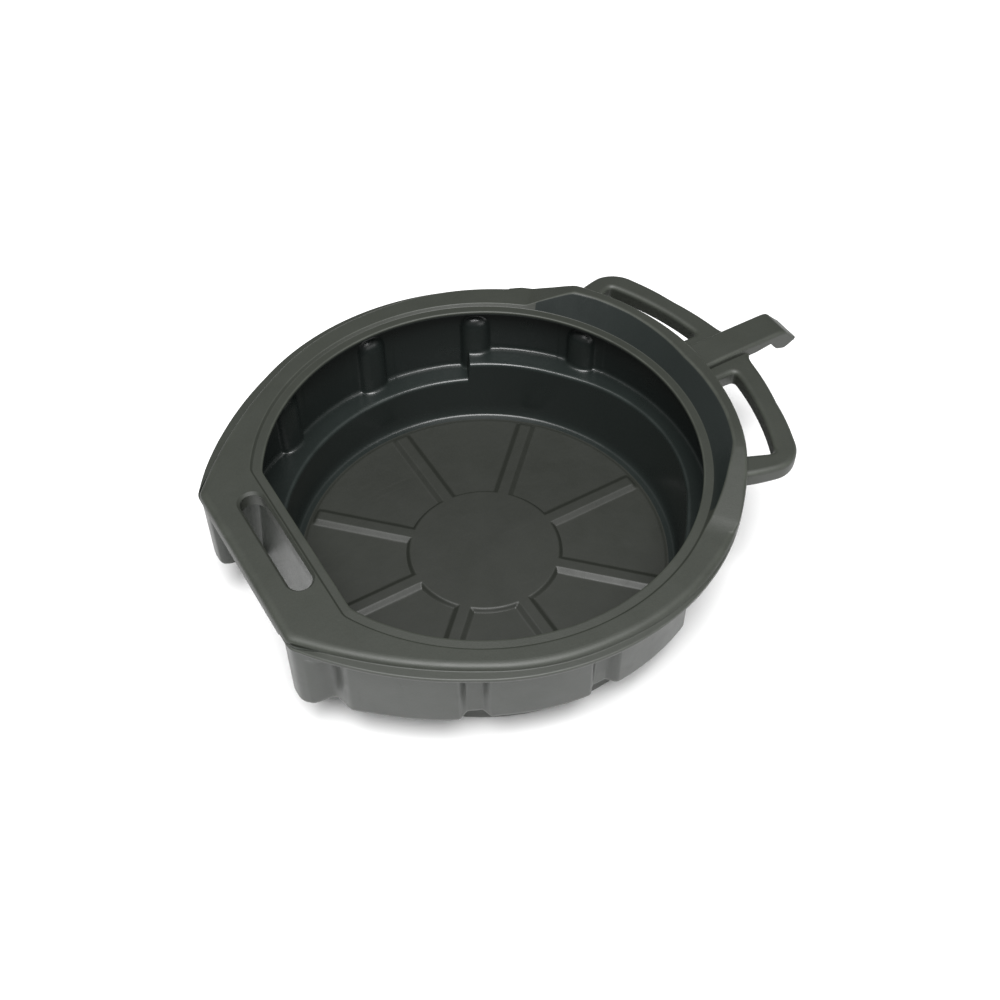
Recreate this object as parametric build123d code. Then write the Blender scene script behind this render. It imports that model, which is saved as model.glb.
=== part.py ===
from build123d import *
import math
import os

# Oil drain pan: one plastic moulding, drawn as named zones that meet face to face.
# Millimetres. Origin: centre of the pan on the ground. +X points to the hook arm, +Z up.
# Angles are measured from +X in degrees; the pan is mirrored in the X-Z plane.

# heights
Z_PANEL = 5.5          # floor between the ribs
Z_RIB = 8.5            # top of the ribs and of the centre disc
Z_RING = 4.0           # floor of the perimeter groove
Z_FLOOR = 2.5          # underside of the floor, held clear of the ground by the foot ring
Z_LOW = 53.0           # top of the low shelf, grip side
Z_HIGH = 74.5          # top of the high shelf, spout side
Z_LIP = 138.0          # top of the splash lip
Z_TOP = 140.5          # flat top of the rim
Z_SHOULDER = 134.5     # top of the flange round the rim
Z_UNDER = 130.5        # underside of the rim
Z_PLATE = 136.5        # underside of the rim's top plate
Z_GRIP = 125.5         # lower edge of the skirts round the grip
Z_CREST_IN = 159.0     # inner edge of the raised spout guard
Z_CREST_OUT = 157.5    # outer edge of the raised spout guard
Z_PILLAR = 122.0       # top of the pillars inside
Z_LOOP = 145.0         # top of the two loop handles
Z_LOOP_LOW = 128.5     # underside of the loop handles
Z_ARM = 152.0          # top of the hook arm

# plan sizes
T = 3.0                # wall thickness
R_DISC = 75.4          # centre disc
RIB_W = 20.0           # ribs
R_FIELD = 177.0        # outer edge of the ribbed floor
R_BOWL_LOW = 189.2     # bowl wall at the floor
R_BOWL_HIGH = 191.4    # bowl wall at the high shelf
R_WALL = 219.5         # outside of the upper wall
R_LIP = 200.0          # opening
R_STEP = 210.0         # step from the lip up to the rim
R_RIM = 237.5          # outside of the rim
X_LIP = -179.2         # straight edge of the opening on the grip side
X_STEP = -187.5        # straight part of the step
X_WALL_LOW = -197.0    # straight wall behind the grip, at the shelf
X_WALL = -191.0        # the same wall under the rim
X_FRONT = -240.0       # front edge of the grip
Y_LOBE = 77.0          # inner sides of the corner lobes
A_STEP = 64.5          # where the shelf changes height
R_CREST = 225.0        # ridge of the spout guard
A_CREST = 53.0         # ends of the spout guard zone
A_RAMP_FOOT = 47.5     # foot of the inclines up to the guard's full height
A_RAMP_HEAD = 36.5     # head of the inclines
PILLAR_ANGLES = (32.0, 62.0, 92.0, 122.0, 152.0)
BIG = 700.0

# hand slot in the grip plate, a little off centre
SLOT_X = (-214.0, -191.0)
SLOT_Y = (-52.0, 68.0)

# hook arm, side view (x, z)
ARM_HALF = 17.0
ARM_PROFILE = [(236.5, Z_ARM), (333.0, Z_ARM), (350.4, 134.5), (348.8, 131.0), (336.5, 126.0),
               (327.0, 129.0), (319.0, 139.5), (303.0, 137.0), (236.5, 137.0)]

# loop handle on the left side, plan (x, y): outline arcs as start, through, end
LOOP_OUTER = [((285.0, 17.0), (280.5, 50.0), (271.0, 84.0)),
              ((271.0, 84.0), (264.0, 108.0), (255.0, 130.0)),
              ((255.0, 130.0), (243.5, 146.5), (225.0, 153.0)),
              ((225.0, 153.0), (205.0, 148.5), (186.0, 142.0))]
LOOP_BAR = ((262.0, 31.0), (253.4, 73.5), (228.5, 134.0))
LOOP_BACK = [(198.0, 120.0), (225.0, 31.0)]


def polar(radius, angle):
    """Plan point at a radius and an angle in degrees."""
    return (radius * math.cos(math.radians(angle)), radius * math.sin(math.radians(angle)))


def prism(face, z_low, z_high):
    """Upright prism between two heights."""
    return Pos(0, 0, z_low) * extrude(face, z_high - z_low)


def sector(angle_from, angle_to, z_low, z_high, radius=BIG):
    """Wedge of space between two angles."""
    steps = max(2, int(abs(angle_to - angle_from) / 30) + 1)
    arc = [polar(radius, angle_from + (angle_to - angle_from) * i / steps) for i in range(steps + 1)]
    return prism(make_face(Polyline((0, 0), *arc, close=True)), z_low, z_high)


def turned(points):
    """Solid of revolution about Z from a section given as (radius, height)."""
    section = make_face(Polyline(*[(r, 0, z) for r, z in points], close=True))
    return revolve(section, Axis.Z, 360)


def plan(radius, arc_angle, arcs, front):
    """Closed plan, mirrored in X-Z: a main arc, flank arcs as (through, end), then straight front edges."""
    start = polar(radius, arc_angle)
    half = []
    for through, end in arcs:
        half.append(ThreePointArc(start, through, end))
        start = end
    for end in front:
        half.append(Line(start, end))
        start = end
    main = ThreePointArc(polar(radius, -arc_angle), (radius, 0), polar(radius, arc_angle))
    edge = Line(start, (start[0], -start[1]))
    return make_face([main, edge] + half + [mirror(curve, Plane.XZ) for curve in half])


def rim_plan():
    """Outer edge of the flange under the rim."""
    arcs = [((-155.0, 183.0), (-184.5, 159.5)), ((-208.5, 136.0), (-230.0, 110.0))]
    face = plan(R_RIM, 122, arcs, [(X_FRONT, 97.0), (X_FRONT, 80.0)])
    return fillet([v for v in face.vertices() if v.X < X_FRONT + 0.1 and abs(v.Y) > 90], 9)


def top_plan():
    """Outline of the rim's flat top, set in from the flange."""
    arcs = [(polar(234.3, 72), polar(231.0, 92)), (polar(230.6, 106), polar(229.3, 120)),
            ((-149.0, 176.8), (-182.5, 150.4)), ((-206.5, 128.0), (-226.5, 105.5))]
    face = plan(R_RIM, 55, arcs, [(X_FRONT + 0.6, 92.0), (X_FRONT + 0.6, 80.0)])
    return fillet([v for v in face.vertices() if v.X < X_FRONT + 1 and abs(v.Y) > 90], 8)


def wall_plan(x_wall):
    """Plan of the upper wall; the two front corners stand out as lobes beside the grip."""
    arcs = [((-141.0, 176.5), (-173.0, 154.5))]
    front = [(-222.0, 112.0), (-238.0, 96.0), (-238.0, 77.0), (x_wall, 74.0)]
    face = plan(R_WALL, 117, arcs, front)
    face = fillet([v for v in face.vertices() if v.X < -237], 8)
    return fillet([v for v in face.vertices() if abs(v.X - x_wall) < 0.1], 8)


def upright(low, high):
    """Wall body between the underside of the shelf and the underside of the rim."""
    return loft([Pos(0, 0, Z_LOW - T) * low, Pos(0, 0, Z_UNDER) * high], ruled=True)


def flute(angle, grow, z_low, z_high):
    """Upright channel pressed into the wall from outside, with an arched top."""
    floor = 231.5 if angle > 150 else 212.5
    half = 12.0 + grow
    section = Pos(floor - grow + 25, 0) * RectangleRounded(50, 2 * half, 7)
    column = prism(section, z_low, z_high)
    top = column.edges().filter_by(lambda e: abs(e.center().Z - z_high) < 0.01 and e.center().X < floor + 8)
    return Rot(0, 0, angle) * fillet(top, 6)


def flutes(grow, z_low, z_high):
    """All the channels, both sides."""
    columns = []
    for angle in PILLAR_ANGLES:
        columns.append(flute(angle, grow, z_low, z_high))
        columns.append(mirror(columns[-1], Plane.XZ))
    return columns


def bowl(grow, z_floor, z_shelf):
    """Room inside the bowl up to a shelf, or its outer skin when grown by the wall."""
    slope = (R_BOWL_HIGH - R_BOWL_LOW) / (Z_HIGH - Z_RING)
    r_top = R_BOWL_LOW + slope * (z_shelf - Z_RING) + grow
    r_foot = R_BOWL_LOW + grow
    points = [(0, z_floor)]
    for i in range(7):
        a = math.radians(-90 + 15 * i)
        points.append((r_foot - 10 + 10 * math.cos(a), z_floor + 10 + 10 * math.sin(a)))
    points += [(r_top, z_shelf), (0, z_shelf)]
    return turned(points)


def swell(grow, z_floor):
    """The bowl leans out towards the spout: an off-centre leaning drum."""
    low = Pos(34.0, 0, z_floor) * Circle(154.0 + grow)
    high = Pos(41.0, 0, Z_HIGH) * Circle(158.5 + grow)
    return loft([low, high], ruled=True)


def bowl_parts():
    """Bowl wall in two zones and the perimeter groove that the pan stands on."""
    spout_side = sector(-A_STEP, A_STEP, -1, Z_HIGH + 1)
    room_low = bowl(0, Z_RING, Z_LOW)
    skin_low = bowl(T, 0, Z_LOW)
    room_high = bowl(0, Z_RING, Z_HIGH) + swell(0, Z_RING + 8)
    skin_high = bowl(T, 0, Z_HIGH) + swell(T, Z_RING + 8)
    field = prism(Circle(R_FIELD), -1, Z_HIGH + 1)
    shell_low = skin_low - room_low - spout_side - field
    shell_high = (skin_high - room_high - field) & spout_side
    foot = Pos(0, 0, Z_RING / 2) * Box(BIG, BIG, Z_RING)
    return {
        "foot_ring": (shell_low & foot) + (shell_high & foot),
        "bowl_wall_grip_side": shell_low - foot,
        "bowl_wall_spout_side": shell_high - foot,
    }


def rib(angle):
    """Raised flat rib between the centre disc and the perimeter groove."""
    bar = Pos((R_DISC + R_FIELD) / 2, 0, Z_FLOOR) * Box(R_FIELD - R_DISC + 8, RIB_W, Z_RIB - Z_FLOOR,
                                                      align=(Align.CENTER, Align.CENTER, Align.MIN))
    bar = chamfer(bar.edges().filter_by(Axis.X).group_by(Axis.Z)[-1], 2.9, 4.8)
    bar = bar & prism(Circle(R_FIELD) - Circle(R_DISC), 0, Z_RIB + 1)
    return Rot(0, 0, angle) * bar


def floor_parts():
    """Centre disc, eight ribs and the flat fields between them."""
    disc = prism(Circle(R_DISC), Z_FLOOR, Z_RIB)
    disc = fillet(disc.edges().group_by(Axis.Z)[-1], 2)
    disc = disc - prism(Circle(R_DISC - 5), Z_FLOOR, Z_RIB - T)
    parts = {"floor_centre_disc": disc}
    ribs = [rib(45 * i) for i in range(8)]
    for i, piece in enumerate(ribs):
        parts[f"floor_rib_{i + 1}"] = piece
    for i in range(8):
        panel = prism(Circle(R_FIELD) - Circle(R_DISC), Z_FLOOR, Z_PANEL)
        panel = panel & sector(45 * i, 45 * i + 45, 0, Z_RIB)
        parts[f"floor_panel_{i + 1}"] = panel - ribs[i] - ribs[(i + 1) % 8]
    return parts


def slab(z_low, z_high):
    """Everything between two heights."""
    return Pos(0, 0, z_low) * Box(BIG, BIG, z_high - z_low, align=(Align.CENTER, Align.CENTER, Align.MIN))


def shelf_parts(body):
    """The two shelves round the bowl and the risers where their height changes."""
    spout_side = sector(-A_STEP, A_STEP, 0, 200)
    low = (body & slab(Z_LOW - T, Z_LOW)) - bowl(T, 0, Z_LOW) - spout_side
    high = ((body & slab(Z_HIGH - T, Z_HIGH)) - bowl(T, 0, Z_HIGH) - swell(T, Z_RING + 8)) & spout_side
    riser_angle = math.degrees(T / 206)
    parts = {}
    for name, side in (("left", 1), ("right", -1)):
        wedge = sector(side * (A_STEP - riser_angle), side * A_STEP, Z_LOW - T, Z_HIGH - T)
        block = body & wedge
        parts[f"shelf_riser_{name}"] = block - bowl(T, 0, Z_HIGH) - swell(T, Z_RING + 8)
    recesses = flutes(0, 0, Z_PILLAR - 4)
    parts["shelf_grip_side"] = low - recesses
    parts["shelf_spout_side"] = high - recesses
    for name in ("left", "right"):
        parts[f"shelf_riser_{name}"] = parts[f"shelf_riser_{name}"] - recesses
    return parts


def wall_parts(body, space):
    """Upper wall with the pressed-in channels, cut into natural zones."""
    shell = (body & slab(Z_LOW, Z_UNDER)) - flutes(0, 0, Z_PILLAR - 4)
    shell = shell - (space - flutes(T, 0, Z_PILLAR))
    spout_side = sector(-A_STEP, A_STEP, 0, Z_UNDER + 1)
    spout_low = sector(-A_STEP, A_STEP, 0, Z_HIGH)
    grip_wall = Pos(-205, 0, 90) * Box(60, 2 * Y_LOBE, 120)
    lobe_left = Pos(-280, Y_LOBE + 100, 90) * Box(180, 200, 120)
    lobe_right = mirror(lobe_left, Plane.XZ)
    parts = {"upper_wall_spout_side": (shell & spout_side) - spout_low}
    rest = shell - spout_side
    parts["upper_wall_behind_grip"] = rest & grip_wall
    rest = rest - grip_wall
    parts["corner_lobe_left"] = rest & lobe_left
    parts["corner_lobe_right"] = rest & lobe_right
    rest = rest - lobe_left - lobe_right
    left_half = Pos(0, 200, 90) * Box(BIG, 400, 120)
    parts["upper_wall_left"] = rest & left_half
    parts["upper_wall_right"] = rest - left_half
    return parts


def opening_plan(radius, x_chord):
    """Round opening with one straight side."""
    block = Pos(x_chord + BIG / 2, 0) * Rectangle(BIG, BIG)
    return Circle(radius) & block


def slot_plan(grow):
    """Hand slot with round ends."""
    width = SLOT_X[1] - SLOT_X[0] + 2 * grow
    length = SLOT_Y[1] - SLOT_Y[0] + 2 * grow
    middle = Pos((SLOT_X[0] + SLOT_X[1]) / 2, (SLOT_Y[0] + SLOT_Y[1]) / 2)
    return middle * RectangleRounded(width, length, width / 2 - 0.01)


def rim_parts(hull, room, body):
    """Splash lip, flat rim with its rounded outer edge, and the flange under it."""
    lip = prism(opening_plan(R_STEP, X_STEP) - opening_plan(R_LIP, X_LIP), Z_LIP - 4, Z_LIP)
    inner_edge = [e for e in lip.edges() if e.center().Z > Z_LIP - 0.01
                  and (abs(e.radius - R_LIP) < 0.5 if e.geom_type == GeomType.CIRCLE
                       else abs(e.center().X - X_LIP) < 0.5)]
    lip = fillet(inner_edge, 2.5)

    top = top_plan()
    block = prism(top, Z_UNDER, Z_TOP)
    block = fillet(block.edges().group_by(Axis.Z)[-1], 6)
    block = block - prism(opening_plan(R_STEP, X_STEP), 0, 200)
    hollow_out = prism(offset(top, amount=-T) - hull, 0, Z_PLATE)
    hollow_in = prism(room - opening_plan(R_STEP, X_STEP), 0, Z_LIP - T)
    block = block - hollow_out - hollow_in

    slot = prism(slot_plan(0), 0, 200)
    flare = [Pos(0, 0, Z_TOP - 2) * slot_plan(0), Pos(0, 0, Z_TOP + 1) * slot_plan(2.4)]
    slot = slot + loft(flare, ruled=True)
    collar = prism(slot_plan(T) - slot_plan(0), Z_GRIP, Z_PLATE) - prism(hull, 0, 200)
    skirt = prism(top - offset(top, amount=-T), Z_GRIP, Z_UNDER)
    grip_zone = Pos((X_STEP + X_FRONT) / 2 - 5, 0, 130) * Box(abs(X_FRONT - X_STEP) + 10, 2 * Y_LOBE - 4, 60)
    grip = ((block + skirt) & grip_zone) + collar - slot - body
    crest_zone = sector(-A_CREST, A_CREST, 0, 300)
    rest = block - grip_zone - crest_zone
    left_half = Pos(0, 200, 90) * Box(BIG, 400, 220)
    flange = prism(rim_plan() - top, Z_UNDER, Z_SHOULDER) - crest_zone
    return {
        "splash_lip": lip,
        "grip_front": grip,
        "rim_left": rest & left_half,
        "rim_right": rest - left_half,
        "flange_left": flange & left_half,
        "flange_right": flange - left_half,
    }


def below_ramps(drop):
    """Space under the level rim and under the inclines at both ends of the spout guard."""
    middle = (A_RAMP_HEAD + A_RAMP_FOOT) / 2
    run = 2 * R_RIM * math.sin(math.radians((A_RAMP_FOOT - A_RAMP_HEAD) / 2))
    slope = math.degrees(math.atan2(Z_CREST_IN - Z_TOP, run))
    level = Pos(0, 0, Z_TOP - drop) * Box(BIG, BIG, BIG, align=(Align.CENTER, Align.CENTER, Align.MAX))
    space = Box(BIG, BIG, BIG)
    for side in (1, -1):
        cut = Pos(200, 0, (Z_CREST_IN + Z_TOP) / 2 - drop) * Rot(-side * slope, 0, 0)
        cut = cut * Box(400, 160, 100, align=(Align.CENTER, Align.CENTER, Align.MIN))
        space = space - Rot(0, 0, side * middle) * cut
    return space + level


def crest():
    """Raised guard along the spout side, hollow from below."""
    outer = [(R_STEP, Z_PLATE - 2.5), (R_STEP, Z_LIP - 0.5), (R_CREST, Z_CREST_IN), (R_RIM, Z_CREST_OUT),
             (R_RIM, Z_UNDER), (R_WALL - T, Z_UNDER), (R_WALL - T, Z_PLATE - 2.5)]
    inner = [(R_WALL, Z_UNDER - 1), (R_WALL, 145.0), (R_CREST + 2.5, Z_CREST_IN - 4),
             (R_RIM - T, Z_CREST_OUT - T), (R_RIM - T, Z_UNDER - 1)]
    body = turned(outer) & sector(-A_CREST, A_CREST, 0, 300) & below_ramps(0)
    long_edges = [e for e in body.edges() if e.center().Z > Z_CREST_OUT - 1 and e.length > 100]
    body = fillet([e for e in long_edges if e.center().Z > Z_CREST_IN - 1], 4)
    body = fillet([e for e in body.edges() if abs(e.center().Z - Z_CREST_OUT) < 0.1 and e.length > 100], 2)
    return body - (turned(inner) & sector(-A_CREST, A_CREST, 0, 300) & below_ramps(T + 0.5))


def loop_handle():
    """Flat loop handle between the rim and the hook arm, left side."""
    edges = [ThreePointArc(*arc) for arc in LOOP_OUTER]
    corners = [LOOP_OUTER[-1][2], (150.0, 120.0), (200.0, 17.0), LOOP_OUTER[0][0]]
    plate = make_face(edges + [Line(p, q) for p, q in zip(corners, corners[1:])])
    back = [LOOP_BAR[2], *LOOP_BACK, LOOP_BAR[0]]
    hole = make_face([ThreePointArc(*LOOP_BAR)] + [Line(p, q) for p, q in zip(back, back[1:])])
    hole = fillet([v for v in hole.vertices() if v.X > 226], 7)
    body = prism(plate - hole, Z_LOOP_LOW, Z_LOOP)
    body = body - prism(Circle(R_RIM), 0, 300) - (Pos(290, 0, 140) * Box(200, 2 * ARM_HALF, 60))
    top = [e for e in body.edges() if e.center().Z > Z_LOOP - 0.01 and loop_edge_is_free(e)]
    body = fillet(top, 6)
    low = [e for e in body.edges() if e.center().Z < Z_LOOP_LOW + 0.01 and loop_edge_is_free(e)]
    return fillet(low, 3)


def loop_edge_is_free(edge):
    """True for the loop's own edges, not those where it joins the rim or the arm."""
    middle = edge.position_at(0.5)
    return math.hypot(middle.X, middle.Y) > R_RIM + 1 and abs(middle.Y) > ARM_HALF + 1


def hook_arm():
    """Arm that stands out over the spout side, its end turned down as a hook."""
    section = make_face(Polyline(*[(x, 0, z) for x, z in ARM_PROFILE], close=True))
    body = Pos(0, ARM_HALF, 0) * extrude(section, 2 * ARM_HALF, dir=(0, -1, 0))
    ends = [e for e in body.edges() if e.center().X > 345 and abs(e.length - 2 * ARM_HALF) < 0.1]
    body = fillet(ends, 1.5)
    body = fillet([e for e in body.edges() if e.center().Z > 151.9 and abs(e.center().Y) > 1], 3.5)
    body = body - prism(Circle(R_RIM), 0, 300)
    tip_zone = Pos(312.0 + 50, 0, 140) * Box(100, 100, 100)
    return {"hook_arm": body - tip_zone, "hook_tip": body & tip_zone}


hull = wall_plan(X_WALL)
room = offset(hull, amount=-T)
hull_low = wall_plan(X_WALL_LOW)
body = upright(hull_low, hull)
space = upright(offset(hull_low, amount=-T), room)
parts = {}
parts.update(floor_parts())
parts.update(bowl_parts())
parts.update(shelf_parts(body))
parts.update(wall_parts(body, space))
parts.update(rim_parts(hull, room, body))
parts["spout_guard"] = crest()
parts["loop_handle_left"] = loop_handle()
parts["loop_handle_right"] = mirror(parts["loop_handle_left"], Plane.XZ)
parts.update(hook_arm())

os.makedirs("parts", exist_ok=True)
for name, solid in parts.items():
    print(name, len(solid.solids()), round(solid.volume), solid.is_valid)
    export_step(solid, f"parts/{name}.step")
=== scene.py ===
"""Looks of the oil drain pan: one continuous moulded skin, two loop handles and the hook arm."""
import math

import bpy
import numpy as np
from mathutils import Matrix, Vector


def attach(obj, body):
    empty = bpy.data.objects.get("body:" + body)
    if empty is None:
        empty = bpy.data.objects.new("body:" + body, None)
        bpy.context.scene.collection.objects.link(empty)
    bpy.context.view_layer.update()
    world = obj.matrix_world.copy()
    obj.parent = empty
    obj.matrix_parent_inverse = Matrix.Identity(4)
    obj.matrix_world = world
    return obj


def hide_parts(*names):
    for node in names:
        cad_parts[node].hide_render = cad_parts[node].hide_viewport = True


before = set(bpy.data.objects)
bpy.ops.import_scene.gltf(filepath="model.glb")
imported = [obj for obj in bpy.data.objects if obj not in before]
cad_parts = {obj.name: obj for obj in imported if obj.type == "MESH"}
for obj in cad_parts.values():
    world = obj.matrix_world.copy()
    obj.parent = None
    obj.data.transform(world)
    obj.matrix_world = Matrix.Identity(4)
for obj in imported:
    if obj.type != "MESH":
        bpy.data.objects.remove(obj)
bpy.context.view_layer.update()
MM = 0.001

# ---------------------------------------------------------------- camera, first of all
camera_data = bpy.data.cameras.new("camera")
camera_data.lens = 48.6
camera_data.sensor_width = 36.0
camera_data.clip_end = 60.0
camera = bpy.data.objects.new("camera", camera_data)
bpy.context.scene.collection.objects.link(camera)
eye = Vector((-0.41084, -0.72297, 1.04395))
target = Vector((0.01764, -0.00034, 0.07))
aim = (target - eye).to_track_quat("-Z", "Y")
roll = Matrix.Rotation(math.radians(-0.14), 4, "Z")
camera.matrix_world = Matrix.Translation(eye) @ aim.to_matrix().to_4x4() @ roll
bpy.context.scene.camera = camera

# ---------------------------------------------------------------- sizes, millimetres and degrees
# Plan angles run from the spout (0) round to the hand grip (180).
T = 3.0  # wall
# Floor, from the ribs down to the recessed sole.
Z_RIB = 8.5
Z_PANEL = 4.8
Z_GROOVE = 4.0
Z_SOLE = 2.5
RIB_HALF = 5.2
RIB_SLOPE = 5.2
R_GROOVE = 180.8
R_SOLE = 177.0
# Bowl and the shelf above it, low on the spout side.
R_BOWL = 189.2
R_SHELF = 191.2
R_SWELL = 158.5
SWELL_SHIFT = 41.0
Z_LOW = 53.0
Z_HIGH = 74.5
A_STEP = 64.3
# Upper wall and its five channels on each side.
R_WALL = 219.5
A_WALL = 117.0
X_WALL_LOW = -197.0
X_WALL_TOP = -191.0
PILLARS = (32.0, 62.0, 92.0, 122.0, 152.0)
PILLAR_HALF = 15.0
A_CORNER = 150.0
Z_SPRING = 103.5
DOME = 15.0
Z_WALL_TOP = 127.0
# Rim, from the lip over the opening out to the hanging edge.
R_LIP, X_LIP = 200.0, -179.2
R_STEP, X_STEP = 210.0, -187.8
R_RIM = 237.5
Z_LIP_UNDER = 134.0
Z_LIP = 138.3
Z_TOP = 140.5
Z_CREASE = 136.0
Z_EDGE = 135.3
Z_UNDER = 131.2
Z_HOLLOW = 136.5
Z_GRIP = 125.6
# Raised guard on the spout side: foot and head of each incline, height of its ridge and outer edge.
RAMP_FAR, RAMP_NEAR = (47.5, 36.5), (54.0, 31.0)
R_RAMP = 218.0
Z_RIDGE = 158.7
Z_GUARD = 158.6
# Loop handles.
Z_LOOP_LOW = 126.6
Z_LOOP_TOP = 144.9
LOOP_ROUND = 4.8
# Material zones of the skin; each zone gets its own tone, darker inside as painted shade and lighter on top
# and outside as painted light.
FLOOR, INSIDE, TOP, OUTSIDE = range(4)


ARC_POINTS = 40


def smooth(x, low, high):
    """Smooth step from 0 at low to 1 at high."""
    t = np.clip((np.asarray(x, float) - low) / (high - low), 0.0, 1.0)
    return t * t * (3.0 - 2.0 * t)


def polar(radius, angle):
    """Plan point, angle in degrees."""
    return (radius * math.cos(math.radians(angle)), radius * math.sin(math.radians(angle)))


def arc3(a, b, c):
    """Points on the circle through three points, from a to c."""
    ax, ay = a
    bx, by = b
    cx, cy = c
    d = 2 * (ax * (by - cy) + bx * (cy - ay) + cx * (ay - by))
    ux = ((ax**2 + ay**2) * (by - cy) + (bx**2 + by**2) * (cy - ay) + (cx**2 + cy**2) * (ay - by)) / d
    uy = ((ax**2 + ay**2) * (cx - bx) + (bx**2 + by**2) * (ax - cx) + (cx**2 + cy**2) * (bx - ax)) / d
    r = math.hypot(ax - ux, ay - uy)
    t = np.unwrap([math.atan2(y - uy, x - ux) for x, y in (a, b, c)])
    s = np.linspace(t[0], t[2], ARC_POINTS)
    return [(ux + r * math.cos(v), uy + r * math.sin(v)) for v in s]


def dense(points, step=0.5):
    """A polyline resampled evenly; returns points and arc length."""
    p = np.array(points, float)
    d = np.concatenate([[0], np.cumsum(np.hypot(*np.diff(p, axis=0).T))])
    keep = np.concatenate([[True], np.diff(d) > 1e-9])
    p, d = p[keep], d[keep]
    s = np.linspace(0, d[-1], int(d[-1] / step) + 1)
    return np.stack([np.interp(s, d, p[:, 0]), np.interp(s, d, p[:, 1])], 1), s


def bell(width, step):
    """Half count and weights of a bell-shaped average of the given width."""
    n = int(4 * width / step)
    k = np.exp(-0.5 * (np.arange(-n, n + 1) * step / width) ** 2)
    return n, k / k.sum()


def softened(points, width, step=0.5):
    """A half outline from +X round to -X with its corners rounded by about width."""
    p, s = dense(points, step)
    mirror = np.array([1.0, -1.0])
    n, k = bell(width, step)
    padded = np.concatenate([p[1:n + 1][::-1] * mirror, p, p[-n - 1:-1][::-1] * mirror])
    return np.stack([np.convolve(padded[:, i], k, "valid") for i in (0, 1)], 1), s


def closed_round(points, width, step=1.0):
    """Closed outline with its corners rounded."""
    p, _ = dense(list(points) + [points[0]], step)
    p = p[:-1]
    n, k = bell(width, step)
    ring = np.concatenate([p[-n:], p, p[:n]])
    out = np.stack([np.convolve(ring[:, i], k, "valid") for i in (0, 1)], 1)
    return [tuple(q) for q in out[::2]]


def radius_at(points, angles, width):
    """Polar radius of a half outline at the given angles, degrees."""
    p, _ = softened(points, width)
    a = np.degrees(np.arctan2(p[:, 1], p[:, 0]))
    order = np.argsort(a)
    return np.interp(angles, a[order], np.hypot(p[order, 0], p[order, 1]))


# ---------------------------------------------------------------- angles round the pan
def angle_samples():
    """Angles of the half pan, closer together where ribs, pillars and corners need them."""
    spacing = [(0.55, 0, 180)]
    spacing += [(0.3, c - 6, c + 6) for c in (0, 45, 90, 135, 180)]
    spacing += [(0.25, c - 6, c + 6) for c in PILLARS]
    spacing += [(0.1, A_STEP - 0.9, A_STEP + 0.9), (0.2, 148, 166), (0.3, 24, 56)]
    out = [0.0]
    while out[-1] < 180.0:
        here = out[-1] + 1e-6
        step = min(s for s, low, high in spacing if low <= here <= high)
        out.append(out[-1] + step)
    out[-1] = 180.0
    return np.array(out)


half = angle_samples()
theta = np.concatenate([half, -half[1:-1][::-1]])
a = np.abs(theta)
side = np.where(theta < 0, -1.0, 1.0)
cos_a, sin_a = np.cos(np.radians(a)), np.sin(np.radians(a))
N = len(theta)


def at(radius, z):
    """Ring of points at a polar radius and a height; both may vary round the pan."""
    radius = np.broadcast_to(radius, a.shape)
    z = np.broadcast_to(z, a.shape)
    return np.stack([radius * cos_a, side * radius * sin_a, z], 1)


# ---------------------------------------------------------------- plans
def half_rim():
    """Outer edge of the rim: round to 122 degrees, then in to the straight grip."""
    shoulder = (-184.5, 159.5)
    p = [polar(R_RIM, v) for v in range(0, 123, 2)]
    p += arc3(polar(R_RIM, 122), (-155, 183), shoulder)
    p += arc3(shoulder, (-208.5, 136.0), (-230.0, 110.0))
    return p + [(-240.0, 96.0), (-240.0, 0.0)]


def half_crease():
    """Crease where the rim's top turns down, drawn in from the edge away from the guard."""
    side_point, back_point, shoulder = polar(231.0, 92), polar(229.3, 120), (-182.5, 150.4)
    p = [polar(R_RIM - 0.4, v) for v in range(0, 53, 2)]
    p += arc3(polar(237, 53), polar(234.3, 72), side_point)
    p += arc3(side_point, polar(230.6, 106), back_point)
    p += arc3(back_point, (-149.0, 176.8), shoulder)
    p += arc3(shoulder, (-206.5, 128.0), (-226.5, 106.5))
    return p + [(-239.4, 92.0), (-239.4, 0.0)]


def half_lip(radius, x):
    """Circle cut off by a straight side across the grip end."""
    y = math.sqrt(radius**2 - x**2)
    last = math.degrees(math.atan2(y, x))
    return [polar(radius, v) for v in np.linspace(0, last, 90)] + [(x, 0.0)]


def half_wall(x_wall):
    """Upper wall's outside; each corner comes with the base angle it belongs to."""
    shoulder = (-173.0, 154.5)
    knots = [(A_WALL, [polar(R_WALL, v) for v in np.linspace(0, A_WALL, 118)])]
    knots.append((138.2, arc3(polar(R_WALL, A_WALL), (-141.0, 176.5), shoulder)))
    straight = [shoulder, (-222.0, 112.0), (-238.0, 96.0), (-238.0, 77.5)]
    straight += [(x_wall, 74.0), (x_wall, 0.0)]
    for angle, p, q in zip((153.2, 157.5, 160.4, 162.4, 180.0), straight, straight[1:]):
        knots.append((angle, [p, q]))
    return knots


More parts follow.
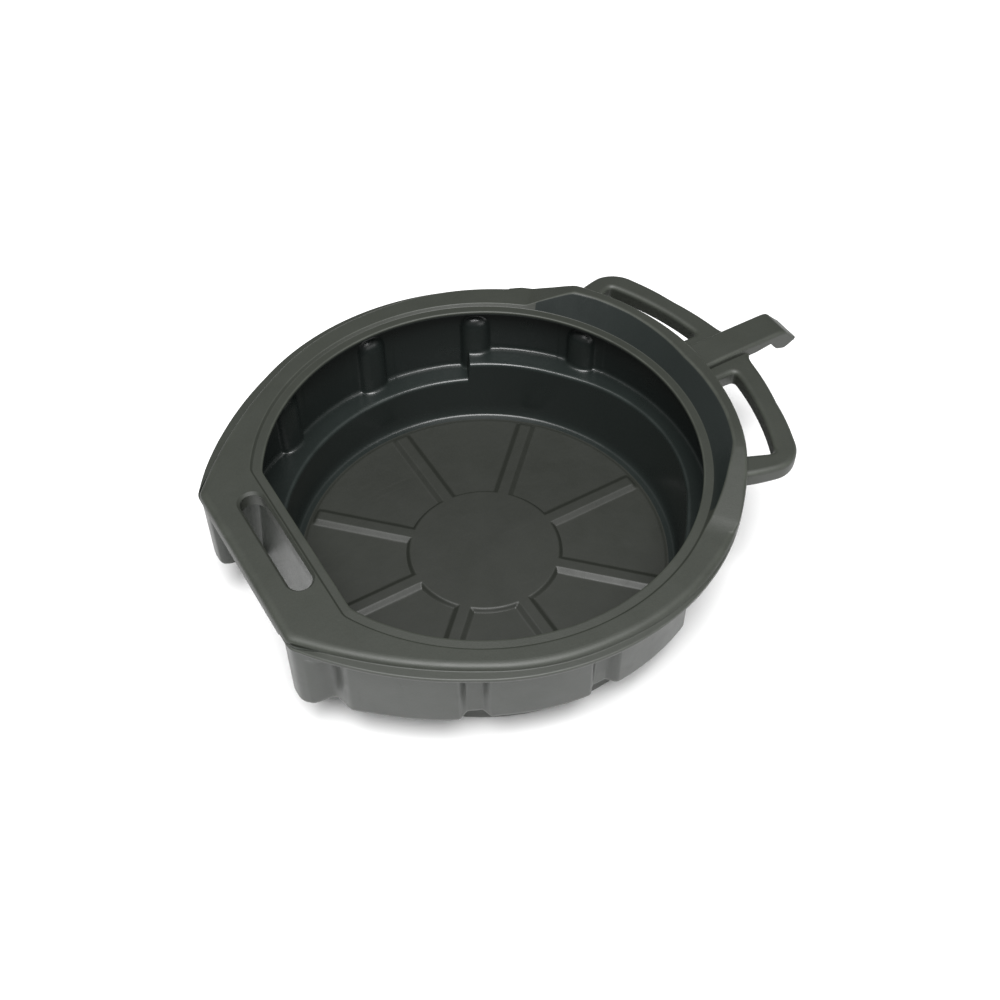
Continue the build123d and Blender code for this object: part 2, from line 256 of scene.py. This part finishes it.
def wall_curve(x_wall):
    """Wall points, outward normals and path length at every base angle."""
    knots = half_wall(x_wall)
    points = [knots[0][1][0]]
    marks, lengths = [0.0], [0.0]
    for angle, run in knots:
        points += run[1:]
        p = np.array([run[0]] + run[1:], float)
        lengths.append(lengths[-1] + float(np.hypot(*np.diff(p, axis=0).T).sum()))
        marks.append(angle)
    p, s = softened(points, 3.6)
    tangent = np.gradient(p, s, axis=0)
    tangent /= np.hypot(tangent[:, 0], tangent[:, 1])[:, None]
    where = np.interp(a, marks, lengths) * s[-1] / lengths[-1]
    x, y = np.interp(where, s, p[:, 0]), np.interp(where, s, p[:, 1])
    nx, ny = np.interp(where, s, tangent[:, 1]), np.interp(where, s, -tangent[:, 0])
    centres = np.interp(PILLARS, marks, lengths) * s[-1] / lengths[-1]
    return x, y, nx, ny, where, centres


WALL_LOW = wall_curve(X_WALL_LOW)
WALL_TOP = wall_curve(X_WALL_TOP)


def pillar_shape(inside, up=0.0):
    """Depth pressed in by the nearest channel; up is 0 where its dome springs and 1 at the crown."""
    where, centres = WALL_TOP[4:]
    push = np.zeros(N)
    for centre, angle in zip(centres, PILLARS):
        off = np.abs(where - centre)
        depth = 12.0 if angle > A_CORNER else 9.4
        if inside:
            left = 1 - (off / PILLAR_HALF) ** 2.3 - up**2.2
            left = 0.5 * (left + np.sqrt(left**2 + 0.012))
            push = np.maximum(push, depth * np.sqrt(left) * (off < 26))
        else:
            flat, root = (0.0, 19.5) if angle > A_CORNER else (5.5, PILLAR_HALF)
            push = np.maximum(push, (depth - 1.2) * (1 - smooth(off, flat, root)))
    return push


PUSH_IN, PUSH_OUT = pillar_shape(True), pillar_shape(False)


def wall(z, inset, push, level):
    """Ring on the upper wall: z, inset from the outside, and the channel's push at that level."""
    z = np.broadcast_to(z, a.shape).astype(float)
    t = np.clip((z - 50.0) / 80.5, 0, 1)
    low, top = WALL_LOW, WALL_TOP
    x, y, nx, ny = [low[i] * (1 - t) + top[i] * t for i in range(4)]
    d = inset + push * level
    return np.stack([x - nx * d, side * (y - ny * d), z], 1)


# ---------------------------------------------------------------- section round the pan
shelf = Z_LOW + (Z_HIGH - Z_LOW) * (1 - smooth(a, A_STEP - 0.35, A_STEP + 0.35))
swell = SWELL_SHIFT * cos_a + np.sqrt(R_SWELL**2 - (SWELL_SHIFT * sin_a) ** 2)
bowl_top = R_SHELF + np.log1p(np.exp((swell - R_SHELF) / 1.2)) * 1.2 * (shelf > 60) - 0.3
lip_r = radius_at(half_lip(R_LIP, X_LIP), a, 2.5)
step_r = radius_at(half_lip(R_STEP, X_STEP), a, 2.5)
crease_r = radius_at(half_crease(), a, 3.0)
rim_r = radius_at(half_rim(), a, 3.0)


def rise(t):
    """0 to 1 with both ends of the incline a little softened."""
    up = 0.5 * (t + np.sqrt(t * t + 0.002))
    return 1 - 0.5 * ((1 - up) + np.sqrt((1 - up) ** 2 + 0.002))


ramp_foot, ramp_head = (np.where(theta > 0, far, near) for far, near in zip(RAMP_FAR, RAMP_NEAR))
ramp_run = 2 * R_RIM * np.sin(np.radians((ramp_foot - ramp_head) / 2))
toward = np.sin(np.radians((ramp_foot + ramp_head) / 2 - a))
crest = rise(0.5 + R_RAMP * toward / ramp_run)
crest_out = rise(0.5 + R_RIM * toward / ramp_run)
ridge_r = np.interp(a, [0, 10, 20, 30, 37, 50], [222.4, 224.5, 226.2, 226.2, 224.5, 222.5])
grip = smooth(a, 162.0, 162.7)
dip_angles = [-60, -28, -20, -12, -5, 0, 6, 60]
dip_heights = [157.9, 157.9, 156.0, 155.0, 156.4, 157.6, 158.4, 158.4]
outer_top = np.interp(theta, dip_angles, dip_heights)
outer_rise = np.minimum(Z_TOP + 0.1 + (Z_GUARD - Z_TOP) * crest_out, outer_top)


def mix(p, q, t):
    """Blend of two values, p at t = 0 and q at t = 1."""
    return p * (1 - t) + q * t


def mix3(p, q, t):
    """Blend of two rings, p where t = 0 and q where t = 1."""
    return p * (1 - t[:, None]) + q * t[:, None]


corners = []


def corner(points, radius=0.0, arc=0):
    """Adds a ring to the section, to be rounded by radius with arc rows of points."""
    corners.append((points, np.broadcast_to(np.asarray(radius, float), a.shape), arc))


def inner_side():
    """From the perimeter groove up the bowl, over the shelf and up to the lip's underside."""
    corner(at(R_BOWL, Z_GROOVE), 12, 8)
    corner(at(bowl_top, shelf), 4.0, 6)
    corner(wall(shelf, T, PUSH_IN, 1.0), 4.5, 6)
    corner(wall(Z_SPRING, T, PUSH_IN, 1.0))
    for up in (0.17, 0.33, 0.47, 0.6, 0.7, 0.78, 0.85, 0.9, 0.95, 0.99, 1.03, 1.1, 1.2):
        z = Z_SPRING + DOME * up
        corner(wall(z, T, pillar_shape(True, up), 1.0))
    corner(wall(Z_WALL_TOP, T, PUSH_IN, 0))
    corner(wall(Z_LIP_UNDER, T, PUSH_IN, 0), 2.0, 3)
    corner(at(lip_r, Z_LIP_UNDER), 1.3, 3)


def over_the_rim():
    """Lip, step, top of the rim or the guard, and down to the hanging edge."""
    corner(at(lip_r, Z_LIP), 2.6, 5)
    corner(at(step_r - 1.0, Z_LIP - 0.6 - 0.3 * crest), 0.8, 3)
    corner(mix3(at(step_r + 1.3, Z_TOP + 0.1), at(ridge_r, Z_RIDGE), crest), mix(1.4, 4.5, crest), 6)
    shoulder_r = crease_r - 1.8 * (1 - smooth(a, 148, 160))
    guard = smooth(a, 55.0, 50.0)
    shoulder = mix3(at(shoulder_r, Z_TOP + 0.1), at(rim_r - 0.2, outer_rise), guard)
    corner(shoulder, mix(8.5, 4.0, guard), 8)
    front = smooth(a, 150, 159)
    crease_z = mix(Z_CREASE, 134.0, front)
    corner(mix3(at(crease_r + 0.2, crease_z), at(rim_r, 141.0), smooth(a, 53, 50)), 0.9, 3)
    corner(at(rim_r - 0.3 * front, mix(Z_EDGE, Z_EDGE - 1.5, front)), 1.2, 3)


def outer_side():
    """Under the rim, down the outside of the wall and bowl, and in to the recessed sole."""
    corner(at(rim_r, mix(Z_UNDER, Z_GRIP, grip)), mix(1.0, 2.5, grip), 3)
    wall_r = np.hypot(WALL_TOP[0], WALL_TOP[1])
    hollow_r = np.maximum(crease_r - 4.0, wall_r + 0.6)
    hollow_r = np.minimum(hollow_r, rim_r - 0.8)
    corner(at(hollow_r, mix(Z_UNDER, Z_GRIP, grip)), 0.6, 2)
    corner(at(hollow_r - 0.3, mix(Z_HOLLOW, Z_GRIP, grip)), 1.0, 2)
    corner(wall(mix(Z_HOLLOW, Z_GRIP, grip), 0, PUSH_OUT, 0), 1.0, 2)
    for z, level in ((119.5, 0.0), (118.6, 0.3), (117.2, 0.6), (115, 0.82), (112, 0.94), (107, 1.0)):
        corner(wall(z, 0, PUSH_OUT, level))
    corner(wall(shelf - T, 0, PUSH_OUT, 1.0), 5.0, 6)
    corner(at(bowl_top + T, shelf - T), 3.0, 4)
    corner(at(R_BOWL + T, 0.0), 12, 8)
    corner(at(R_SOLE + 1.5, 0.0), 0.8, 2)
    corner(at(R_SOLE, Z_SOLE), 0.8, 2)


def floor_rings():
    """Ribbed floor from the centre out to the perimeter groove."""
    hub = [12, 30, 48, 62, 69, 72, 73, 74, 75, 76, 77, 78, 80]
    rib_ends = [170, 172, 173.5, 174.5, 175.5, 176.5, 177.2, 178, 178.8, 179.6, 180.4]
    rings = []
    for r in hub + list(np.arange(86, 168, 7)) + rib_ends:
        rib = np.zeros(N)
        for k in range(8):
            off = np.radians(theta - 45 * k)
            across = np.abs(r * np.sin(off))
            flank = 1 - rise((across - RIB_HALF) / RIB_SLOPE)
            rib = np.maximum(rib, flank * (np.cos(off) > 0))
        rib *= 1 - smooth(r, 172.5, 176.8)
        raised = np.maximum(rib, 1 - smooth(r, 73.2, 77.2))
        z = Z_PANEL + (Z_RIB - Z_PANEL) * raised
        z = mix(z, Z_GROOVE, smooth(r, 176.5, 179.8))
        rings.append(at(r, z))
    return rings


def convexity(before, after):
    """1 where the section turns over an outside edge, 0 on flats and in hollows."""
    out = np.stack([cos_a, side * sin_a], 1)
    r_in, r_out = -(before[:, :2] * out).sum(1), (after[:, :2] * out).sum(1)
    return np.clip(r_out * -before[:, 2] - r_in * after[:, 2], 0, 1)


def filleted(points):
    """Rows of points along the section with every corner rounded, and how exposed each row is."""
    rows, wear = [], []
    none = np.zeros(N)
    for i, (p, radius, arc) in enumerate(points):
        if i == 0 or i == len(points) - 1 or arc == 0:
            rows.append(p)
            wear.append(none)
            continue
        before, after = points[i - 1][0] - p, points[i + 1][0] - p
        lb, la = np.linalg.norm(before, axis=1), np.linalg.norm(after, axis=1)
        ub, ua = before / lb[:, None], after / la[:, None]
        turn = np.arccos(np.clip((ub * ua).sum(1), -0.9999, 0.9999))
        reach = radius / np.tan(np.maximum(turn / 2, 0.15))
        edge = np.minimum(0.5, 0.03 * np.minimum(lb, la))
        share = np.where(radius > 7, 0.8, 0.46)
        reach_in = np.minimum(reach, 0.46 * lb)
        reach_out = np.minimum(np.minimum(reach, share * la), np.where(radius > 7, reach, 0.46 * lb))
        reach_in = np.where(radius > 7, reach_in, np.minimum(reach_in, reach_out))
        start, end = p + ub * reach_in[:, None], p + ua * reach_out[:, None]
        exposed = convexity(ub, ua) * np.clip(6.0 / (radius + 2.0), 0, 1)
        rows.append(p + ub * (reach_in + edge)[:, None])
        wear.append(none)
        for t in np.linspace(0, 1, arc):
            rows.append((1 - t) ** 2 * start + 2 * t * (1 - t) * p + t**2 * end)
            wear.append(exposed * math.sin(math.pi * t))
        rows.append(p + ua * (reach_out + edge)[:, None])
        wear.append(none)
    return rows, wear


def pan_mesh():
    """Closed skin of the pan from rings, with a centre point inside and one underneath."""
    floor = floor_rings()
    rings, wear, zones = list(floor), [np.zeros(N)] * len(floor), [FLOOR] * len(floor)
    corners.clear()
    corner(at(R_GROOVE, Z_GROOVE))
    inner_side()
    inner_count = rim_start = len(corners)
    over_the_rim()
    rim_count = len(corners)
    outer_side()
    corner(at(150.0, Z_SOLE))
    for i, points in enumerate(corners):
        count = points[2] + 2 if points[2] and 0 < i < len(corners) - 1 else 1
        zones += [INSIDE if i < inner_count else TOP if i < rim_count else OUTSIDE] * count
    rows, exposed = filleted(corners)
    rings += rows + [at(60.0, Z_SOLE)]
    wear += exposed + [np.zeros(N)]
    verts = np.concatenate(rings + [np.array([[0, 0, Z_RIB], [0, 0, Z_SOLE]])]) * MM
    m = len(rings)
    index = np.arange(N)
    nxt = np.roll(index, -1)
    quads = []
    for k in range(m - 1):
        q = np.stack([k * N + index, (k + 1) * N + index, (k + 1) * N + nxt, k * N + nxt], 1)
        quads.append(q)
    faces = np.concatenate(quads).tolist()
    faces += np.stack([np.full(N, m * N), index, nxt], 1).tolist()
    faces += np.stack([np.full(N, m * N + 1), (m - 1) * N + nxt, (m - 1) * N + index], 1).tolist()
    mesh = bpy.data.meshes.new("pan_shell")
    mesh.from_pydata(verts.tolist(), [], faces)
    zones = np.repeat(zones, N)[:(m - 1) * N].reshape(m - 1, N)
    # The guard's inward-facing slope takes the darker inner tone: painted shade on that slope.
    slope_row = len(floor) + sum(points[2] + 2 if points[2] else 1 for points in corners[1:rim_start + 2])
    zones[slope_row - 1:slope_row + 3, crest > 0.25] = INSIDE
    zones = np.concatenate([zones.ravel(), np.full(N, FLOOR), np.full(N, OUTSIDE)])
    mesh.polygons.foreach_set("material_index", zones.astype(np.int32))
    set_wear(mesh, np.concatenate(wear + [np.zeros(2)]))
    mesh.update()
    return mesh


def set_wear(mesh, values):
    """Stores how exposed to rubbing every vertex is."""
    layer = mesh.attributes.new("wear", "FLOAT", "POINT")
    layer.data.foreach_set("value", np.asarray(values, np.float32))


def wear_by_slope(mesh):
    """Exposure of a rounded bar: strongest half way round its upper edges."""
    normal = np.zeros(len(mesh.vertices) * 3)
    mesh.vertices.foreach_get("normal", normal)
    up = normal[2::3]
    set_wear(mesh, np.where(up > 0, 4 * up**2 * (1 - up**2), 0) ** 2)


def add_object(name, mesh):
    """New object in the scene."""
    obj = bpy.data.objects.new(name, mesh)
    bpy.context.scene.collection.objects.link(obj)
    return obj


def plate(name, outline, z_low, z_high, rounding):
    """Flat plate with rounded edges from a plan outline, made as a bevelled filled curve."""
    curve = bpy.data.curves.new(name, "CURVE")
    curve.dimensions = "2D"
    curve.fill_mode = "BOTH"
    spline = curve.splines.new("POLY")
    spline.points.add(len(outline) - 1)
    spline.points.foreach_set("co", np.concatenate([[x * MM, y * MM, 0, 1] for x, y in outline]))
    spline.use_cyclic_u = True
    curve.extrude = ((z_high - z_low) / 2 - rounding) * MM
    curve.bevel_depth = rounding * MM
    curve.bevel_resolution = 5
    curve.offset = -rounding * MM
    temp = add_object(name, curve)
    bpy.context.view_layer.update()
    mesh = bpy.data.meshes.new_from_object(temp.evaluated_get(bpy.context.evaluated_depsgraph_get()))
    bpy.data.objects.remove(temp)
    mesh.transform(Matrix.Translation((0, 0, (z_low + z_high) / 2 * MM)))
    mesh.name = name
    return mesh


def capped_tube(name, verts, n):
    """Closed solid from rings of n points each, the first and last ring filled in."""
    count = len(verts) // n
    faces = []
    for k in range(count - 1):
        for i in range(n):
            j = (i + 1) % n
            faces.append((k * n + i, k * n + j, (k + 1) * n + j, (k + 1) * n + i))
    faces.append(tuple(reversed(range(n))))
    faces.append(tuple(range((count - 1) * n, count * n)))
    mesh = bpy.data.meshes.new(name)
    mesh.from_pydata(verts, [], faces)
    mesh.update()
    return mesh


def slot_outline(x0, x1, y0, y1):
    """Stadium outline of the hand slot."""
    r, cx = (x1 - x0) / 2, (x0 + x1) / 2
    top = [(cx + r * math.cos(t), y1 - r + r * math.sin(t)) for t in np.linspace(0, math.pi, 25)]
    end = [(cx + r * math.cos(t), y0 + r + r * math.sin(t)) for t in np.linspace(math.pi, 2 * math.pi, 25)]
    return top + end


def slot_cutter():
    """Slot-shaped solid that flares at the top, so that the cut leaves a rounded edge."""
    base = np.array(slot_outline(-214.0, -192.2, -52.0, 68.0))
    grown = 2.6
    tangent = np.roll(base, -1, 0) - np.roll(base, 1, 0)
    normal = np.stack([tangent[:, 1], -tangent[:, 0]], 1) / np.hypot(*tangent.T)[:, None]
    levels = [(Z_GRIP - 6.0, 0.0)]
    for t in np.linspace(1.5, 0.05, 10):
        levels.append((Z_TOP + 0.1 - grown * math.sin(t), grown * (1 - math.cos(math.pi / 2 - t))))
    levels.append((Z_TOP + 6.0, grown))
    verts = []
    for z, out in levels:
        p = base + normal * out
        verts += [(x * MM, y * MM, z * MM) for x, y in p]
    return capped_tube("slot_cutter", verts, len(base))


def loop_mesh(name, sign):
    """Loop handle, left (sign 1) or right (sign -1): web beside the arm, bar, foot on the rim."""
    bend, knee, end = (271.0, 84.0), (255.0, 130.0), (225.0, 153.0)
    outline = [(226.0, 4.0), (294.0, 4.0), (292.5, 16.0), (287.2, 19.5), (285.0, 26.0)]
    outline += arc3((284.4, 30.0), (280.0, 53.0), bend)
    outline += arc3(bend, (264.0, 108.0), knee)[1:]
    outline += arc3(knee, (243.5, 146.5), end)[1:]
    outline += arc3(end, (205.0, 148.5), (186.0, 142.0))[1:]
    outline += [(176.0, 138.0), (186.0, 115.5)]
    outline += arc3((228.5, 134.0), (253.4, 73.5), (262.0, 31.0))
    outline = closed_round(outline + [(222.0, 31.0)], 3.4)
    return plate(name, [(x, sign * y) for x, y in outline], Z_LOOP_LOW, Z_LOOP_TOP, LOOP_ROUND)


def hook_mesh():
    """Hook arm: rounded box sections along X, the end turned down into a beak."""
    # x, underside, top and half width at each station
    stations = [(228, 137, 151.0, 18.5), (240, 137, 151.4, 17.2), (262, 137, 151.7, 16.8),
                (300, 137.0, 151.9, 16.8), (306, 137.9, 151.9, 16.8), (313, 138.9, 151.9, 16.8),
                (317, 139.6, 151.9, 16.8), (319.5, 139.0, 151.9, 16.8), (322, 136.0, 151.9, 16.8),
                (325, 132.0, 151.9, 16.8), (327.5, 129.2, 151.8, 16.8), (330, 128.2, 151.6, 16.8),
                (333, 127.2, 150.9, 16.8), (336, 126.3, 148.8, 16.7), (338, 126.8, 146.6, 16.7),
                (342, 128.4, 142.6, 16.6), (346, 130.1, 138.8, 16.3), (348.6, 131.3, 136.2, 15.6),
                (350.0, 133.6, 135.0, 14.8)]
    keys = np.array(stations, float)
    xs = np.concatenate([np.arange(228, 300, 6), np.arange(300, 346, 1.0), np.linspace(346, 350, 9)])
    verts = []
    for x in xs:
        low, high, half_width = (np.interp(x, keys[:, 0], keys[:, i]) for i in (1, 2, 3))
        r = min(4.0, (high - low) / 2 - 0.3)
        for cy, cz, start in ((1, 1, 0), (-1, 1, 90), (-1, -1, 180), (1, -1, 270)):
            for t in np.radians(np.linspace(start, start + 90, 7)):
                y = cy * (half_width - r) + r * math.cos(t)
                z = (high - r if cz > 0 else low + r) + r * math.sin(t)
                verts.append((x * MM, y * MM, z * MM))
    return capped_tube("hook_arm_skin", verts, len(verts) // len(xs))


# ---------------------------------------------------------------- plastic
def plastic(name, tone, rough, grain):
    """Black moulded polyethylene: fine grain, soft flow variation, faint scuffs, worn edges."""
    material = bpy.data.materials.new(name)
    material.use_nodes = True
    nodes, links = material.node_tree.nodes, material.node_tree.links
    nodes.clear()
    out = nodes.new("ShaderNodeOutputMaterial")
    bsdf = nodes.new("ShaderNodeBsdfPrincipled")
    bsdf.inputs["IOR"].default_value = 1.5
    bsdf.inputs["Specular IOR Level"].default_value = 0.5
    links.new(bsdf.outputs[0], out.inputs[0])
    coords = nodes.new("ShaderNodeTexCoord").outputs["Object"]

    def noise(scale, detail):
        """Noise over the object's own coordinates."""
        n = nodes.new("ShaderNodeTexNoise")
        n.inputs["Scale"].default_value = scale
        n.inputs["Detail"].default_value = detail
        n.inputs["Roughness"].default_value = 0.55
        links.new(coords, n.inputs["Vector"])
        return n.outputs["Fac"]

    def ranged(value, low, high, to_low, to_high):
        """Value carried from one range to another and held at its ends."""
        n = nodes.new("ShaderNodeMapRange")
        links.new(value, n.inputs["Value"])
        for key, number in (("From Min", low), ("From Max", high), ("To Min", to_low), ("To Max", to_high)):
            n.inputs[key].default_value = number
        return n.outputs["Result"]

    def maths(kind, x, y):
        """Sum or product of two sockets or numbers."""
        n = nodes.new("ShaderNodeMath")
        n.operation = kind
        for socket, value in zip(n.inputs, (x, y)):
            if isinstance(value, float):
                socket.default_value = value
            else:
                links.new(value, socket)
        return n.outputs[0]

    flow = noise(7.0, 4.0)
    cloud = noise(38.0, 4.0)
    speck = noise(900.0, 2.0)
    shade = nodes.new("ShaderNodeMix")
    shade.data_type = "RGBA"
    blend = maths("ADD", ranged(flow, 0.3, 0.7, 0.0, 0.5), ranged(speck, 0.35, 0.65, 0.0, 0.5))
    links.new(blend, shade.inputs["Factor"])
    dark = [c * 0.86 for c in tone]
    light = [c * 1.16 for c in tone]
    shade.inputs["A"].default_value = (*dark, 1)
    shade.inputs["B"].default_value = (*light, 1)
    exposed = nodes.new("ShaderNodeAttribute")
    exposed.attribute_name = "wear"
    patchy = ranged(cloud, 0.35, 0.65, 0.25, 1.0)
    worn = nodes.new("ShaderNodeMix")
    worn.data_type = "RGBA"
    links.new(maths("MULTIPLY", exposed.outputs["Fac"], patchy), worn.inputs["Factor"])
    links.new(shade.outputs["Result"], worn.inputs["A"])
    worn.inputs["B"].default_value = (*[c * 1.7 for c in tone], 1)
    links.new(worn.outputs["Result"], bsdf.inputs["Base Color"])
    scuffs = nodes.new("ShaderNodeTexNoise")
    stretch = nodes.new("ShaderNodeMapping")
    stretch.inputs["Rotation"].default_value = (0.3, 0.2, 0.7)
    stretch.inputs["Scale"].default_value = (18, 340, 60)
    links.new(coords, stretch.inputs["Vector"])
    links.new(stretch.outputs[0], scuffs.inputs["Vector"])
    scuffs.inputs["Scale"].default_value = 1.0
    scuffs.inputs["Detail"].default_value = 5.0
    scuff = ranged(scuffs.outputs["Fac"], 0.62, 0.78, 0.0, 0.07)
    uneven = ranged(cloud, 0.3, 0.7, rough - 0.035, rough + 0.035)
    links.new(maths("ADD", uneven, scuff), bsdf.inputs["Roughness"])
    fine = nodes.new("ShaderNodeBump")
    fine.inputs["Strength"].default_value = 0.35 * grain
    fine.inputs["Distance"].default_value = 0.0002
    links.new(noise(800.0, 3.0), fine.inputs["Height"])
    wave = nodes.new("ShaderNodeBump")
    wave.inputs["Strength"].default_value = 0.25
    wave.inputs["Distance"].default_value = 0.0006
    links.new(noise(75.0, 2.0), wave.inputs["Height"])
    links.new(fine.outputs[0], wave.inputs["Normal"])
    links.new(wave.outputs[0], bsdf.inputs["Normal"])
    return material


def finish_piece(obj, materials, nodes):
    """Smooth shading, material, body and the CAD nodes the piece stands for."""
    for polygon in obj.data.polygons:
        polygon.use_smooth = True
    for m in materials:
        obj.data.materials.append(m)
    obj.data.set_sharp_from_angle(angle=math.radians(36))
    normals = obj.modifiers.new("normals", "WEIGHTED_NORMAL")
    normals.keep_sharp = True
    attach(obj, "root")
    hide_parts(*nodes)


def cut_slot(obj):
    """Cuts the hand slot through the grip; the cut's own faces take the rim's plastic."""
    cutter = add_object("slot_cutter", slot_cutter())
    modifier = obj.modifiers.new("slot", "BOOLEAN")
    modifier.operation = "DIFFERENCE"
    modifier.solver = "EXACT"
    modifier.object = cutter
    bpy.context.view_layer.update()
    cut = bpy.data.meshes.new_from_object(obj.evaluated_get(bpy.context.evaluated_depsgraph_get()))
    obj.modifiers.clear()
    for polygon in cut.polygons:
        if polygon.material_index == FLOOR and polygon.center.z > 20 * MM:
            polygon.material_index = TOP
    obj.data = cut
    bpy.data.objects.remove(cutter)


# One plastic in four zone tones: the darker inner tone is painted shade on the inner walls, and the lighter
# top and outer tones are painted light on the rim, handles, hook and outside; grain and roughness also
# differ by zone.
floor_plastic = plastic("pan_floor_satin", (0.0145, 0.0162, 0.0128), 0.54, 0.5)
inner_plastic_painted_shade = plastic("pan_inner_satin_painted_shade", (0.012, 0.0155, 0.0145), 0.30, 0.5)
top_plastic_painted_light = plastic("pan_top_grain_painted_light", (0.0228, 0.0256, 0.0203), 0.52, 1.4)
outer_plastic_painted_light = plastic("pan_outer_grain_painted_light", (0.0235, 0.027, 0.0225), 0.42, 1.3)

shell = add_object("pan_shell", pan_mesh())
cut_slot(shell)
loop_left = add_object("loop_left_skin", loop_mesh("loop_left_skin", 1))
loop_right = add_object("loop_right_skin", loop_mesh("loop_right_skin", -1))
hook = add_object("hook_skin", hook_mesh())
for piece in (loop_left, loop_right, hook):
    wear_by_slope(piece.data)
finish_piece(loop_left, [top_plastic_painted_light], ["loop_handle_left"])
finish_piece(loop_right, [top_plastic_painted_light], ["loop_handle_right"])
finish_piece(hook, [top_plastic_painted_light], ["hook_arm", "hook_tip"])
others = [n for n in sorted(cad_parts) if not n.startswith(("loop_", "hook_"))]
finish_piece(shell, [floor_plastic, inner_plastic_painted_shade, top_plastic_painted_light, outer_plastic_painted_light], others)

# ---------------------------------------------------------------- studio
ground_mesh = bpy.data.meshes.new("studio_floor")
ground_mesh.from_pydata([(-9, -9, 0), (9, -9, 0), (9, 9, 0), (-9, 9, 0)], [], [(0, 1, 2, 3)])
ground = add_object("studio_floor", ground_mesh)
paint = bpy.data.materials.new("studio_white")
paint.use_nodes = True
paint.node_tree.nodes["Principled BSDF"].inputs["Base Color"].default_value = (0.9, 0.9, 0.9, 1)
paint.node_tree.nodes["Principled BSDF"].inputs["Roughness"].default_value = 0.9
ground_mesh.materials.append(paint)

world = bpy.data.worlds.new("studio")
bpy.context.scene.world = world
world.use_nodes = True
world.node_tree.nodes["Background"].inputs["Color"].default_value = (1, 1, 1, 1)
world.node_tree.nodes["Background"].inputs["Strength"].default_value = 0.2


def softbox(name, place, aim_at, size, power):
    """Rectangular light aimed at a point."""
    data = bpy.data.lights.new(name, "AREA")
    data.shape = "RECTANGLE"
    data.size, data.size_y = size
    data.energy = power
    lamp = add_object(name, data)
    lamp.location = place
    lamp.rotation_euler = (Vector(aim_at) - Vector(place)).to_track_quat("-Z", "Y").to_euler()


softbox("key", (-0.58, -1.02, 3.4), (0, 0, 0), (2.3, 2.3), 250)
softbox("front", (0.7, -3.0, 1.1), (0.05, -0.1, 0.0), (3.2, 1.2), 18)
bpy.context.scene.view_settings.view_transform = "Standard"
